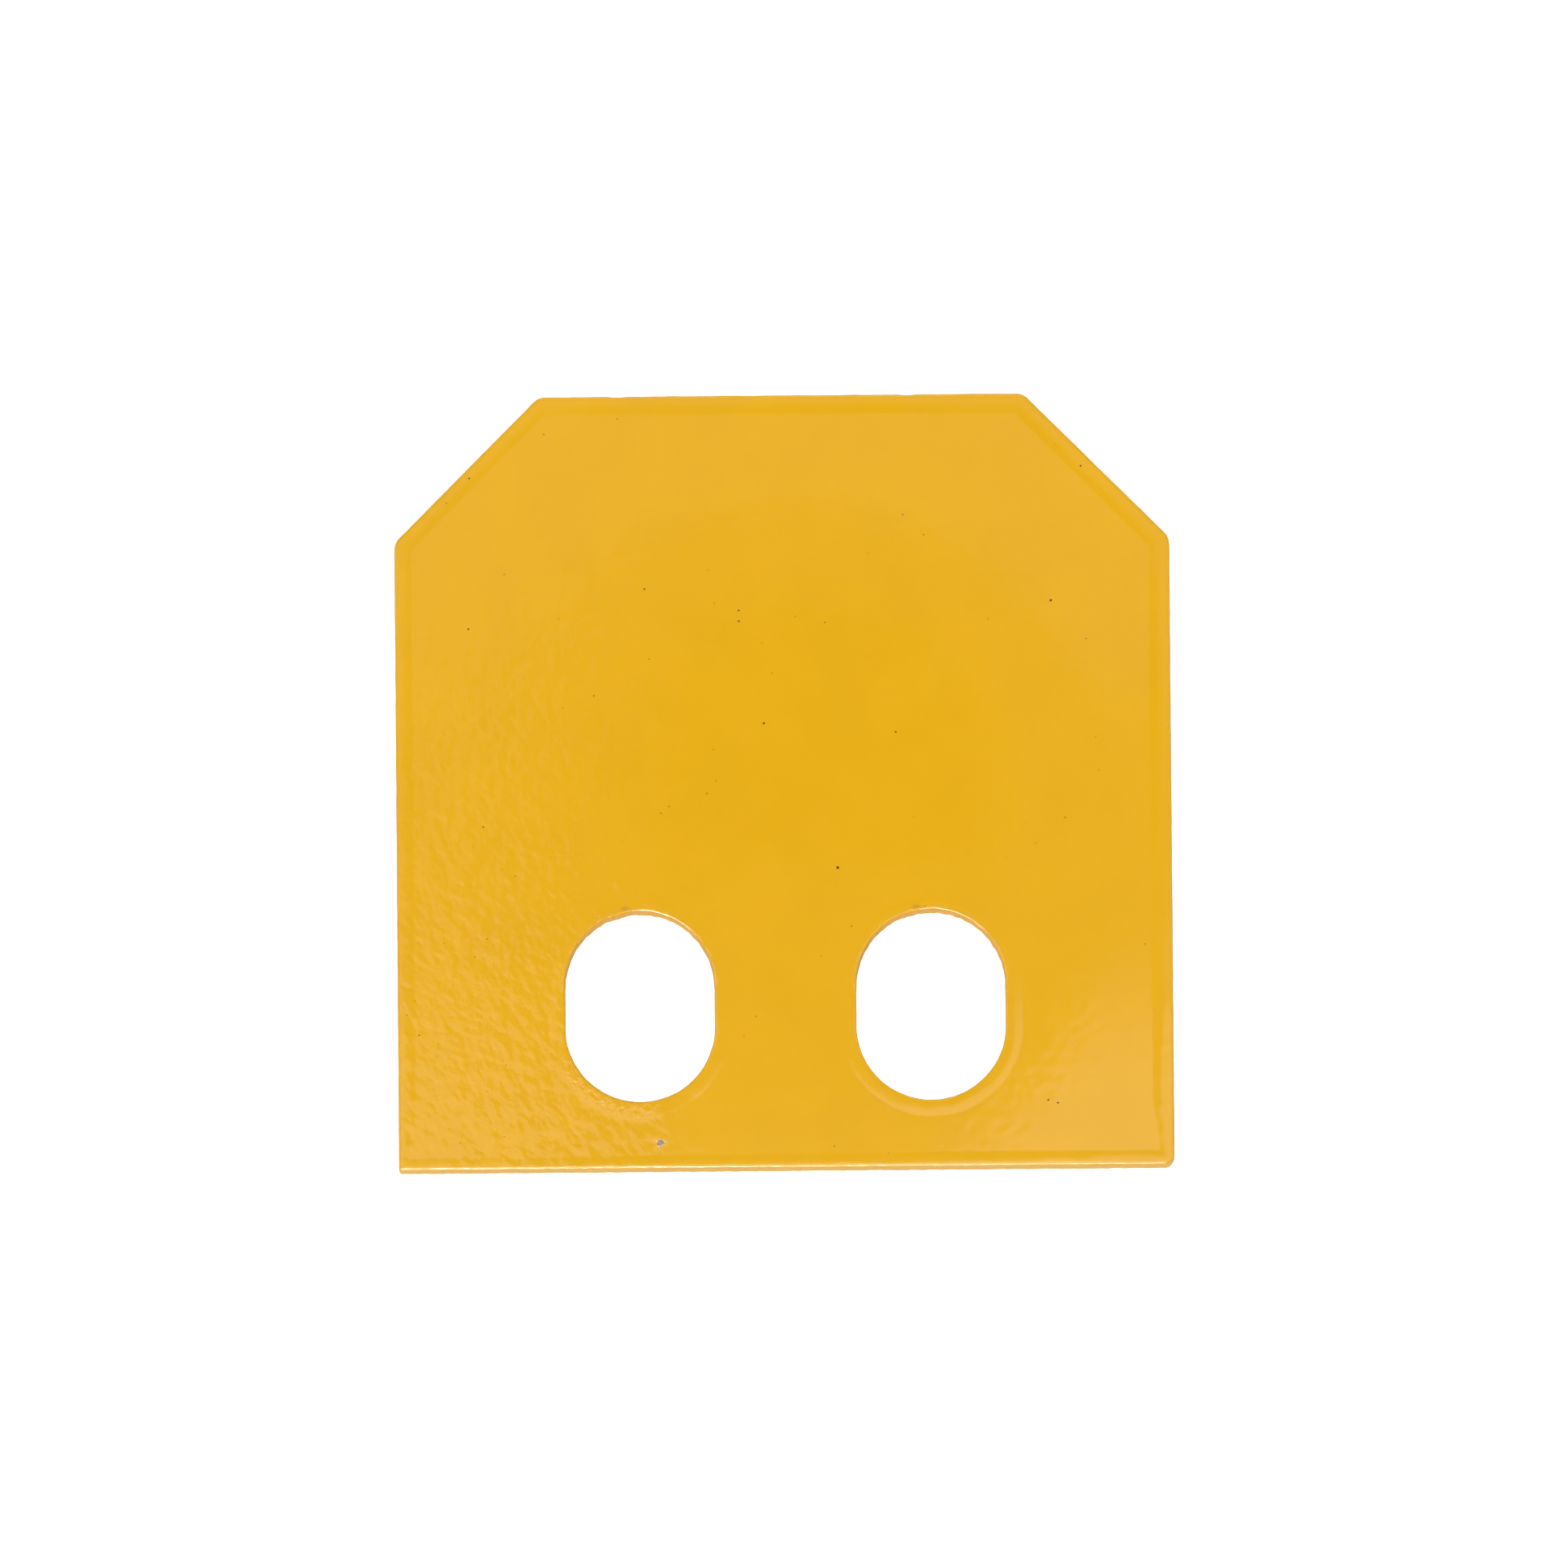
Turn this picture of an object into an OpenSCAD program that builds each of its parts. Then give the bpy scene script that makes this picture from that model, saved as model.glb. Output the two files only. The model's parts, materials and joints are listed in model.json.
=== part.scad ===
// Slotted mounting plate: a laser-cut steel blank inside a gloss powder coat.
// The plate lies on its back face. X is its width and Y its height, with the two cut corners at +Y
// and the two fixing slots at -Y. The origin is at the centre of the back face.
// Every size is over the coat, as the finished plate measures. The blank is smaller by coat_t all over.

/* [Plate] */
// Finished width, side to side
plate_w = 80; // [60:1:160]
// Finished height, lower edge to top edge
plate_h = 80; // [60:1:160]
// Finished thickness, back face to front face
plate_t = 5; // [3:0.5:12]
// Length taken off both edges by each 45 degree corner cut
corner_cut = 15; // [5:0.5:22]

/* [Slots] */
// Width of each slot, between its straight sides
slot_w = 15.4; // [8:0.1:18]
// How far a bolt can slide in a slot, which is the length of its straight sides
slot_travel = 4.6; // [0.5:0.1:8]
// Distance between the centres of the two slots
slot_pitch = 30; // [20:0.5:40]
// Material left between the slots and the lower edge
slot_margin = 6.8; // [4.5:0.1:10]

/* [Edges] */
// Radius at the four corners of the two corner cuts
cut_corner_r = 1.8; // [0.6:0.1:4]
// Radius at the lower right corner
lower_right_r = 1.1; // [0.6:0.1:4]
// Radius at the lower left corner, where the profile cut starts and ends
lower_left_r = 0.4; // [0.4:0.1:4]
// Rounding between each face and the cut sides
arris_r = 0.3; // [0.2:0.05:0.35]

/* [Coat] */
// Thickness of the powder coat
coat_t = 0.12; // [0.06:0.01:0.15]
// Radius of the chip that goes through the coat on the front face
chip_r = 0.3; // [0.2:0.05:0.5]
// Distance of the chip from the plate's centre line, to the left
chip_left = 13; // [5:0.5:25]
// Height of the chip above the lower edge
chip_rise = 2.7; // [1.5:0.1:3]

/* [Hidden] */
$fn = 96;
// How far the slot spaces run past both faces
clear = 1;
half_w = plate_w / 2;
half_h = plate_h / 2;
slot_y = slot_margin + (slot_w + slot_travel) / 2 - half_h;

// The outline runs anticlockwise from the lower left corner
CORNERS = [
    [-half_w, -half_h],
    [half_w, -half_h],
    [half_w, half_h - corner_cut],
    [half_w - corner_cut, half_h],
    [corner_cut - half_w, half_h],
    [-half_w, half_h - corner_cut]
];
RADII = [lower_left_r, lower_right_r, cut_corner_r, cut_corner_r, cut_corner_r, cut_corner_r];
SIDES = len(CORNERS);

function next(i) = (i + 1) % SIDES;
function previous(i) = (i + SIDES - 1) % SIDES;
function unit(v) = v / norm(v);
function along(i) = unit(CORNERS[next(i)] - CORNERS[i]);
function outward(i) = [along(i).y, -along(i).x];

// Centre of the round at corner i, which touches both sides that meet there
function round_centre(i) =
    let (before = outward(previous(i)), after = outward(i))
    CORNERS[i] - RADII[i] * (before + after) / (1 + before * after);

// Section through a corner, from its centre out to the cut side, with both arrises rounded
module edge_section(reach, thickness, arris) {
    intersection() {
        square([reach, thickness]);
        union() {
            square([reach - arris, thickness]);
            translate([0, arris]) square([reach, thickness - 2 * arris]);
            for (y = [arris, thickness - arris]) translate([reach - arris, y]) circle(arris);
        }
    }
}

// The plate without its slots, made smaller by inset on every side and face
module solid_plate(inset) {
    hull()
        for (i = [0 : SIDES - 1])
        translate([round_centre(i).x, round_centre(i).y, inset])
        rotate_extrude($fn = 32)
        edge_section(RADII[i] - inset, plate_t - 2 * inset, arris_r - inset);
}

// Half section of the space in a slot, which flares out over the rounded arrises
module slot_section(reach, thickness, arris) {
    difference() {
        translate([0, -clear]) square([reach + arris, thickness + 2 * clear]);
        translate([reach, arris]) square([arris + clear, thickness - 2 * arris]);
        for (y = [arris, thickness - arris]) translate([reach + arris, y]) circle(arris);
    }
}

// The space in one slot, made larger by inset on every side
module slot_space(inset) {
    reach = slot_w / 2 + inset;
    thickness = plate_t - 2 * inset;
    arris = arris_r - inset;
    translate([0, slot_y, inset]) {
        for (half_turn = [0, 180])
            rotate([0, 0, half_turn])
            translate([0, slot_travel / 2, 0])
            rotate_extrude(angle = 180)
            slot_section(reach, thickness, arris);
        translate([0, slot_travel / 2, 0])
            rotate([90, 0, 0])
            linear_extrude(slot_travel)
            union() {
                slot_section(reach, thickness, arris);
                mirror([1, 0]) slot_section(reach, thickness, arris);
            }
    }
}

module slotted_plate(inset) {
    difference() {
        solid_plate(inset);
        for (side = [-1, 1]) translate([side * slot_pitch / 2, 0, 0]) slot_space(inset);
    }
}

module steel_plate() {
    color([0.55, 0.55, 0.56]) slotted_plate(coat_t);
}

module powder_coat() {
    color([0.92, 0.68, 0.1])
        difference() {
            slotted_plate(0);
            slotted_plate(coat_t);
            translate([-chip_left, chip_rise - half_h, plate_t / 2]) cylinder(h = plate_t, r = chip_r);
        }
}

steel_plate();
powder_coat();
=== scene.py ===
import json
import math

import bpy
import numpy as np
from mathutils import Matrix, Vector
from mathutils.geometry import delaunay_2d_cdt


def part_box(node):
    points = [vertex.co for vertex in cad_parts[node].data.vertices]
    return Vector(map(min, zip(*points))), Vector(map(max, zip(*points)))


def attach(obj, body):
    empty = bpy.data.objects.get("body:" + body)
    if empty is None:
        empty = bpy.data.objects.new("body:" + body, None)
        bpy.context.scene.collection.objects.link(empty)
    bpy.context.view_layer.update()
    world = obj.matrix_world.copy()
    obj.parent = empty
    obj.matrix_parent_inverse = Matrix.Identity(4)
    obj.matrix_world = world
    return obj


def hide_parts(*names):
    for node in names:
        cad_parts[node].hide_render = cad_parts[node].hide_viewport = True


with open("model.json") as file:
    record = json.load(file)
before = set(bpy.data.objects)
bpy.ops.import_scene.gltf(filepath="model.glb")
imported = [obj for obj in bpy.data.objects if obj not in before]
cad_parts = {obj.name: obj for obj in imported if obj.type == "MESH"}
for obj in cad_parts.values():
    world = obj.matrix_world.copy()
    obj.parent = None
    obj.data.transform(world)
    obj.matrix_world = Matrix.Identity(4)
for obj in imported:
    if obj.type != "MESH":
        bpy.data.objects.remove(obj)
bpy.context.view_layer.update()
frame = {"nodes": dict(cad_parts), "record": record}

bl_info = {
    "name": "Slotted Mounting Plate",
    "version": (1, 0, 0),
    "blender": (4, 5, 0),
    "location": "View3D > Sidebar > Plate",
    "description": "Builds a powder-coated steel mounting plate around its CAD frame",
    "category": "Object",
}

MM = 0.001
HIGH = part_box("powder_coat")[1]
BLANK_LOW, BLANK_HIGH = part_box("steel_plate")
MOUNTS = {mount["name"]: mount for mount in frame["record"]["mounts"]}
SLOTS = [MOUNTS["slot_left"], MOUNTS["slot_right"]]
SLOT_CENTRES = [Vector(mount["pos_m"]).xy for mount in SLOTS]
SLOT_RADIUS = SLOTS[0]["dims"]["hole_r_mm"] * MM
SLOT_TRAVEL = SLOTS[0]["dims"]["slot_length_mm"] * MM - 2 * SLOT_RADIUS
HALF_WIDTH = HIGH.x
HALF_HEIGHT = HIGH.y
THICKNESS = HIGH.z
FILM = THICKNESS - BLANK_HIGH.z


# ---------------- settings


def length(name, description, default):
    kind = {"min": 0.0, "precision": 6, "unit": "LENGTH", "subtype": "DISTANCE"}
    return bpy.props.FloatProperty(name=name, description=description, default=default, **kind)


def angle(name, description, degrees):
    turn = math.radians(degrees)
    return bpy.props.FloatProperty(name=name, description=description, default=turn, subtype="ANGLE")


def colour(name, description, default):
    return bpy.props.FloatVectorProperty(
        name=name, description=description, default=default, size=4, min=0.0, max=1.0, subtype="COLOR"
    )


class PlateShape(bpy.types.PropertyGroup):
    """Sizes of the outline and its edges"""

    corner_cut: length("Corner cut", "Length taken off both edges by each upper corner cut", 15 * MM)
    cut_radius: length("Cut corner radius", "Radius at the four corners of the corner cuts", 1.8 * MM)
    right_radius: length("Lower right radius", "Radius at the lower right corner", 1.1 * MM)
    left_radius: length("Lower left radius", "Radius at the lower left corner", 0.35 * MM)
    arris: length("Arris radius", "Rounding between the faces and the cut sides", 0.3 * MM)
    slot_arris: length("Slot arris radius", "Rounding between the faces and the slot sides", 0.22 * MM)
    edge_wave: length("Edge wave", "How far the cut edge wanders in and out", 0.012 * MM)
    nib_height: length("Nib height", "How far the lead-in nib stands into each slot", 0.09 * MM)
    slot_build: length("Slot build", "Extra coat that gathered at both ends of each slot", 0.16 * MM)


class PlateCoat(bpy.types.PropertyGroup):
    """Relief and colour of the powder coat"""

    bead_height: length("Bead height", "Height of the thick edge bead over the face", 0.052 * MM)
    bead_crest: length("Bead crest", "Distance of the bead's crest from the edge", 0.45 * MM)
    bead_end: length("Bead end", "Distance from the edge at which the bead meets the face", 1.95 * MM)
    peel_height: length("Peel height", "Typical height of the orange peel", 0.0012 * MM)
    peel_spacing: length("Peel spacing", "Typical distance between orange-peel waves", 1.4 * MM)
    chip_radius: length("Chip radius", "Radius of the chip through the coat", 0.29 * MM)
    coat_colour: colour("Coat colour", "Golden yellow of the powder coat", (0.80, 0.419, 0.0075, 1.0))
    speck_colour: colour("Speck colour", "Dark specks in the coat", (0.022, 0.013, 0.005, 1.0))
    speck_size: length("Speck size", "Radius of an average speck", 0.07 * MM)
    speck_density: bpy.props.FloatProperty(
        name="Speck density", description="Small specks on each square metre", default=9000.0, min=0.0
    )
    steel_colour: colour("Steel colour", "Bare steel of the blank", (0.27, 0.225, 0.205, 1.0))


class PlateStage(bpy.types.PropertyGroup):
    """Floor, lights and camera"""

    floor_colour: colour("Floor colour", "Pale floor", (0.93, 0.93, 0.93, 1.0))
    camera_distance: length("Camera distance", "From the plate's centre to the camera", 6.0)
    frame_width: length("Frame width", "Width of the view at the plate", 161.75 * MM)
    camera_tilt: angle("Camera tilt", "How far the view leans from the face normal", 5.0)
    camera_roll: angle("Camera roll", "Turn of the camera about its view", 0.47)
    card_height: length("Card height", "Height of the overhead light card", 0.3)


# ---------------- outlines


def plate_corners(cut):
    """Sharp corners of the outline, anticlockwise from the lower left."""
    w, h = HALF_WIDTH, HALF_HEIGHT
    return [(-w, -h), (w, -h), (w, h - cut), (w - cut, h), (cut - w, h), (-w, h - cut)]


def slot_corners(travel):
    """Sharp corners of a slot about its own centre, anticlockwise."""
    w, h = SLOT_RADIUS, SLOT_RADIUS + travel / 2
    return [(-w, -h), (w, -h), (w, h), (-w, h)]


def station_counts(corners, radii, step):
    """How many steps each round and each side gets, so that all rings of a loop match."""
    rounds, sides = [], []
    for i, corner in enumerate(corners):
        here, after, before = Vector(corner), Vector(corners[(i + 1) % len(corners)]), Vector(corners[i - 1])
        turn = (here - before).angle(after - here)
        rounds.append(max(6, round(radii[i] * turn / step)))
        after_turn = (after - here).angle(Vector(corners[(i + 2) % len(corners)]) - after)
        used = radii[i] * math.tan(turn / 2) + radii[(i + 1) % len(corners)] * math.tan(after_turn / 2)
        straight = (after - here).length - used
        sides.append(round(straight / step) if straight > step / 4 else 0)
    return rounds, sides


def ring(corners, radii, inset, counts):
    """Points of the outline moved inwards by inset, with their outward directions."""
    points, directions = [], []
    count = len(corners)
    normals, centres, reaches = [], [], []
    for i in range(count):
        along = (Vector(corners[(i + 1) % count]) - Vector(corners[i])).normalized()
        normals.append(Vector((along.y, -along.x)))
    for i in range(count):
        before, after = normals[i - 1], normals[i]
        reach = max(radii[i] - inset, 0.25 * inset)
        mitre = (before + after) / (1 + before.dot(after))
        centres.append(Vector(corners[i]) - (inset + reach) * mitre)
        reaches.append(reach)
    for i in range(count):
        start = math.atan2(normals[i - 1].y, normals[i - 1].x)
        turn = normals[i - 1].angle(normals[i])
        for k in range(counts[0][i]):
            angle = start + turn * k / counts[0][i]
            direction = Vector((math.cos(angle), math.sin(angle)))
            points.append(centres[i] + reaches[i] * direction)
            directions.append(direction)
        first = centres[i] + reaches[i] * normals[i]
        last = centres[(i + 1) % count] + reaches[(i + 1) % count] * normals[i]
        for k in range(counts[1][i]):
            points.append(first.lerp(last, k / counts[1][i]))
            directions.append(normals[i])
    return np.array(points), np.array(directions)


# ---------------- relief


def ripple(points, spacing, seed, waves=48, stretch=1.0):
    """A smooth random field of unit height, with waves about spacing apart that may run down to the right."""
    rng = np.random.default_rng(seed)
    run = np.array([1.0, -1.0, 0.0]) / math.sqrt(2)
    points = points + np.outer(points @ run, run) * (1 / stretch - 1)
    directions = rng.normal(size=(waves, 3))
    directions /= np.linalg.norm(directions, axis=1)[:, None]
    numbers = 2 * math.pi / (spacing * rng.uniform(0.7, 1.4, waves))
    phases = rng.uniform(0, 2 * math.pi, waves)
    field = np.zeros(len(points))
    for direction, number, phase in zip(directions, numbers, phases):
        field += np.cos(points @ direction * number + phase)
    return field * math.sqrt(2 / waves)


def hump(distance, width):
    """1 where the distance is 0, falling off softly within width."""
    return np.exp(-((distance / width) ** 2))


def soften(value, start, end):
    """Smooth step from 0 at start to 1 at end."""
    part = np.clip((value - start) / (end - start), 0, 1)
    return part * part * (3 - 2 * part)


def edge_distance(points, corners, travel):
    """Distance of face points from the nearest cut edge, slots included where their travel is given."""
    nearest = np.full(len(points), np.inf)
    for i, corner in enumerate(corners):
        along = np.array(corners[(i + 1) % len(corners)]) - np.array(corner)
        along /= np.linalg.norm(along)
        inwards = np.array([-along[1], along[0]])
        nearest = np.minimum(nearest, (points[:, :2] - np.array(corner)) @ inwards)
    for centre in SLOT_CENTRES if travel else []:
        offset = points[:, :2] - np.array(centre)
        offset[:, 1] -= np.clip(offset[:, 1], -travel / 2, travel / 2)
        nearest = np.minimum(nearest, np.linalg.norm(offset, axis=1) - SLOT_RADIUS)
    return nearest


CHIP_PLACE = Vector((-13 * MM, 2.7 * MM - HALF_HEIGHT))
CRACK_ANGLES = [math.radians(a) for a in (-4, 58, 131, 184, 262)]
CRACK_REACHES = [0.62 * MM, 0.42 * MM, 0.5 * MM, 0.55 * MM, 0.6 * MM]
CRACK_WIDTH = 0.05 * MM
CRACK_DEPTH = 0.03 * MM
RIM_LIFT = 0.045 * MM
# Where the lead-in nib and its scorch mark stand, to the side of each slot's centre and above its end
NIB_OFFSET = -1.9 * MM
NIB_WIDTH = 0.85 * MM
SCORCH_OFFSET = -1.45 * MM
SCORCH_RISE = 0.28 * MM


def crack_depth(points):
    """How far each face point lies in one of the fine cracks around the chip, from 0 to 1."""
    offset = points[:, :2] - np.array(CHIP_PLACE)
    reach = np.linalg.norm(offset, axis=1)
    angle = np.arctan2(offset[:, 1], offset[:, 0])
    depth = np.zeros(len(points))
    for crack, end in zip(CRACK_ANGLES, CRACK_REACHES):
        bend = 0.12 * np.sin(reach / (0.09 * MM) + 5 * crack)
        away = np.abs(np.angle(np.exp(1j * (angle - crack - bend)))) * reach
        depth = np.maximum(depth, hump(away, CRACK_WIDTH) * np.clip((end - reach) / (0.2 * MM), 0, 1))
    return depth


# ---------------- coat mesh


def inside_loop(places, loop):
    """Which places lie inside a closed loop of points, by counting how often a line from each crosses it."""
    crossings = np.zeros(len(places), int)
    for (x0, y0), (x1, y1) in zip(loop, np.roll(loop, -1, axis=0)):
        spans = (y0 > places[:, 1]) != (y1 > places[:, 1])
        if spans.any():
            crossings += spans & (places[:, 0] < x0 + (places[:, 1] - y0) * (x1 - x0) / (y1 - y0))
    return crossings % 2 == 1


# Distances from the edge of the rings on the front face, where the bead is, and on the plain back face
FRONT_BANDS = [a * MM for a in (2.2, 2.07, 1.95, 1.82, 1.68, 1.54, 1.4, 1.26, 1.12, 0.98, 0.85)]
FRONT_BANDS += [a * MM for a in (0.73, 0.62, 0.52, 0.44, 0.37)]
BACK_BANDS = [a * MM for a in (2.2, 1.5, 1.05, 0.65, 0.4)]
INNER_BAND = 0.6 * MM
# How many steps each arris and each wall has, on the outer and on the inner skin
ARRIS_STEPS = 6
WALL_STEPS = 8
INNER_ARRIS_STEPS = 3
INNER_WALL_STEPS = 2
# Spacing of the points along the edges, over both faces, and on the inner skin
EDGE_STEP = 0.3 * MM
FRONT_STEP = 0.5 * MM
BACK_STEP = 1.0 * MM
INNER_STEP = 1.2 * MM
# Room that the inner skin leaves to the blank, and the outer skin to the CAD box at its sides and faces
SKIN_GAP = 0.004 * MM
SIDE_CLEARANCE = 0.004 * MM
FACE_CLEARANCE = 0.001 * MM
# The sides start this far inside the box besides the edge wave, and the face this far besides the bead
SIDE_SPARE = 0.01 * MM
FACE_SPARE = 0.006 * MM
# Distances of the chip's rings from its rim, in millimetres, and where its raggedness has faded out
CHIP_BANDS = (0, 0.03, 0.06, 0.1, 0.14, 0.19, 0.25, 0.32, 0.4, 0.5, 0.62, 0.78, 0.98, 1.25)
CHIP_FADE = 0.5
CHIP_MARGIN = 1.45 * MM


class Shell:
    """Collects the points and faces of one closed mesh."""

    def __init__(self):
        self.points = []
        self.normals = []
        self.faces = []
        self.count = 0

    def add(self, points, normals):
        first = self.count
        self.points.append(np.asarray(points, float))
        self.normals.append(np.asarray(normals, float))
        self.count += len(points)
        return np.arange(first, self.count)

    def add_flat(self, places, height, up):
        """Adds points of one height that face straight up or down."""
        return self.add(
            np.column_stack([places, np.full(len(places), height)]),
            np.tile([0.0, 0.0, up], (len(places), 1)),
        )

    def bridge(self, outer, inner):
        """Quads between two matching rings."""
        following = np.roll(outer, -1), np.roll(inner, -1)
        self.faces += np.stack([outer, following[0], following[1], inner], axis=1).tolist()

    def cap(self, loops, extra, upwards):
        """Triangles inside the first loop and outside the others, through the extra points."""
        ids = np.concatenate(loops + [extra])
        points = np.concatenate(self.points)[:, :2]
        edges, start = [], 0
        for loop in loops:
            size = len(loop)
            edges += [(start + k, start + (k + 1) % size) for k in range(size)]
            start += size
        flat = [Vector(p) for p in points[ids] / MM]
        _, _, faces, origins, _, _ = delaunay_2d_cdt(flat, edges, [], 1, 1e-6)
        source = np.array([ids[o[0]] for o in origins])
        corners = source[np.array(faces)]
        centres = points[corners].mean(axis=1)
        kept = np.ones(len(corners), bool)
        for loop in loops[1:]:
            kept &= ~inside_loop(centres, points[loop])
        self.faces += (corners if upwards else corners[:, ::-1])[kept].tolist()

    def mesh(self, name):
        mesh = bpy.data.meshes.new(name)
        mesh.from_pydata(np.concatenate(self.points).tolist(), [], self.faces)
        mesh.validate()
        mesh.update()
        return mesh


def across_edge(arris, thickness, front_bands, back_bands, arris_steps, wall_steps, face_drop):
    """Inset, height and normal (outwards, upwards) of each ring, from the front face to the back face."""

    def face_and_arris(bands):
        section = [(inset, thickness - face_drop, 0.0, 1.0) for inset in bands]
        for k in range(arris_steps + 1):
            turn = math.pi / 2 * k / arris_steps
            height = thickness - face_drop - arris * (1 - math.cos(turn))
            section.append((arris * (1 - math.sin(turn)), height, math.sin(turn), math.cos(turn)))
        return section

    wall_top, wall_foot = thickness - face_drop - arris, face_drop + arris
    wall = [(0.0, wall_top + (wall_foot - wall_top) * k / wall_steps, 1.0, 0.0) for k in range(1, wall_steps)]
    back = [(inset, thickness - height, out, -up) for inset, height, out, up in face_and_arris(back_bands)]
    return face_and_arris(front_bands) + wall + back[::-1]


def sweep(shell, corners, radii, counts, section, centre, hole, grow):
    """Rings of one edge, for the outline or for a slot, joined by quads. Returns the first and last ring."""
    rings = []
    for inset, height, out, up in section:
        offset = inset + grow
        points, directions = ring(corners, radii, -offset if hole else offset, counts)
        points = points + np.array(centre)
        outward = -directions if hole else directions
        places = np.column_stack([points, np.full(len(points), height)])
        normals = np.column_stack([outward * out, np.full(len(points), up)])
        rings.append(shell.add(places, normals))
    for upper, lower in zip(rings, rings[1:]):
        shell.bridge(*(upper, lower) if hole else (lower, upper))
    return rings[0], rings[-1]


def face_points(step, margin, corners, travel):
    """A close-packed net of points over the face, clear of every edge by margin."""
    rows = []
    for k, y in enumerate(np.arange(-HALF_HEIGHT, HALF_HEIGHT, step * math.sqrt(3) / 2)):
        x = np.arange(-HALF_WIDTH + (k % 2) * step / 2, HALF_WIDTH, step)
        rows.append(np.column_stack([x, np.full(len(x), y)]))
    net = np.concatenate(rows)
    return net[edge_distance(net, corners, travel) > margin]


def chip_rings(radius):
    """Rings of points around the chip, closest at its ragged rim. The first is the rim itself."""
    angles = np.linspace(0, 2 * math.pi, 72, endpoint=False)
    ragged = 1 + 0.16 * np.sin(2 * angles + 0.6) + 0.1 * np.sin(3 * angles + 2) + 0.06 * np.sin(7 * angles)
    rings = []
    for away in CHIP_BANDS:
        fade = max(0.0, 1 - away / CHIP_FADE)
        reach = radius * (1 + (ragged - 1) * fade) + away * MM
        part = slice(0, None, 1 if away <= CHIP_FADE else 2)
        x = CHIP_PLACE.x + (reach * np.cos(angles))[part]
        y = CHIP_PLACE.y + (reach * np.sin(angles))[part]
        rings.append(np.column_stack([x, y]))
    return rings


def sweep_edges(shell, corners, radii, travel, step, sections, spares):
    """Sweeps the outline and both slots. Returns their loops on the front face and on the back face."""
    counts = station_counts(corners, radii, step)
    swept = [sweep(shell, corners, radii, counts, sections[0], (0, 0), False, spares[0])]
    corners, radii = slot_corners(travel), [SLOT_RADIUS] * 4
    counts = station_counts(corners, radii, step)
    for centre in SLOT_CENTRES:
        swept.append(sweep(shell, corners, radii, counts, sections[1], centre, True, spares[1]))
    return [top for top, _ in swept], [foot for _, foot in swept]


def build_inner(shape, corners, radii, rim):
    """The inner skin, which lies on the blank and is open at the chip. Returns it and its rim there."""
    inner = Shell()
    thickness = BLANK_HIGH.z - BLANK_LOW.z + 2 * SKIN_GAP
    band = [INNER_BAND]
    section = across_edge(shape.arris - FILM, thickness, band, band, INNER_ARRIS_STEPS, INNER_WALL_STEPS, 0.0)
    section = [(inset, height + BLANK_LOW.z - SKIN_GAP, out, up) for inset, height, out, up in section]
    spares = [FILM - SKIN_GAP] * 2
    front, back = sweep_edges(inner, corners, radii, SLOT_TRAVEL, INNER_STEP, [section] * 2, spares)
    seat = inner.add_flat(rim, BLANK_HIGH.z + SKIN_GAP, 1.0)
    nothing = np.array([], int)
    inner.cap(front + [seat], nothing, True)
    inner.cap(back, nothing, False)
    return inner, seat


def build_coat(shape, coat):
    """The whole coat as one closed shell: the outer skin, the chip's wall and the inner skin."""
    corners = plate_corners(shape.corner_cut)
    radii = [shape.left_radius, shape.right_radius] + [shape.cut_radius] * 4
    travel = SLOT_TRAVEL - 2 * shape.slot_build
    shell = Shell()

    spare = SIDE_SPARE + shape.edge_wave
    face_drop = 1.12 * coat.bead_height + FACE_SPARE
    sections = [
        across_edge(arris, THICKNESS, FRONT_BANDS, BACK_BANDS, ARRIS_STEPS, WALL_STEPS, face_drop)
        for arris in (shape.arris, shape.slot_arris)
    ]
    front, back = sweep_edges(shell, corners, radii, travel, EDGE_STEP, sections, [spare, 0.0])

    margin = FRONT_BANDS[0] + spare + 0.3 * EDGE_STEP
    rings = chip_rings(coat.chip_radius)
    rings[1:] = [r[edge_distance(r, corners, travel) > margin - 0.2 * EDGE_STEP] for r in rings[1:]]
    chip = [shell.add_flat(places, THICKNESS - face_drop, 1.0) for places in rings]
    net = face_points(FRONT_STEP, margin, corners, travel)
    net = net[np.linalg.norm(net - np.array(CHIP_PLACE), axis=1) > coat.chip_radius + CHIP_MARGIN]
    over = shell.add_flat(net, THICKNESS - face_drop, 1.0)
    under = shell.add_flat(face_points(BACK_STEP, margin, corners, travel), face_drop, -1.0)
    shell.cap(front + [chip[0]], np.concatenate(chip[1:] + [over]), True)
    shell.cap(back, under, False)

    outer_count = shell.count
    inner, seat = build_inner(shape, corners, radii, rings[0])
    shell.points += inner.points
    shell.normals += inner.normals
    shell.faces += [[k + outer_count for k in reversed(face)] for face in inner.faces]
    shell.count += inner.count
    shell.bridge(chip[0], seat + outer_count)

    relieve(shell, outer_count, corners, travel, shape, coat)
    return shell


class Skin:
    """The outer skin's points, with what its relief needs to know of each of them."""

    def __init__(self, points, normals, corners, travel):
        self.points = points
        self.normals = normals
        self.up = normals[:, 2]
        self.facing = np.abs(self.up)
        self.side = 1 - self.facing
        self.front = self.up > 0.9
        self.inside = edge_distance(points, corners, travel)
        self.slot_side = edge_distance(points, corners, None) > self.inside + 0.01 * MM
        self.high = soften(points[:, 1], SLOT_CENTRES[0].y, SLOT_CENTRES[0].y + travel)


def around_slot(skin, travel, reach, drop, left):
    """A mask round the left slot's lower end, by its reach and its soft steps downwards and left."""
    below = skin.points[:, :2] - np.array(SLOT_CENTRES[0]) + np.array([0, travel / 2])
    away = np.linalg.norm(below, axis=1) - SLOT_RADIUS
    return soften(-away, -reach, -0.9 * MM) * soften(-below[:, 1], *drop) * soften(-below[:, 0], *left)


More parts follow.
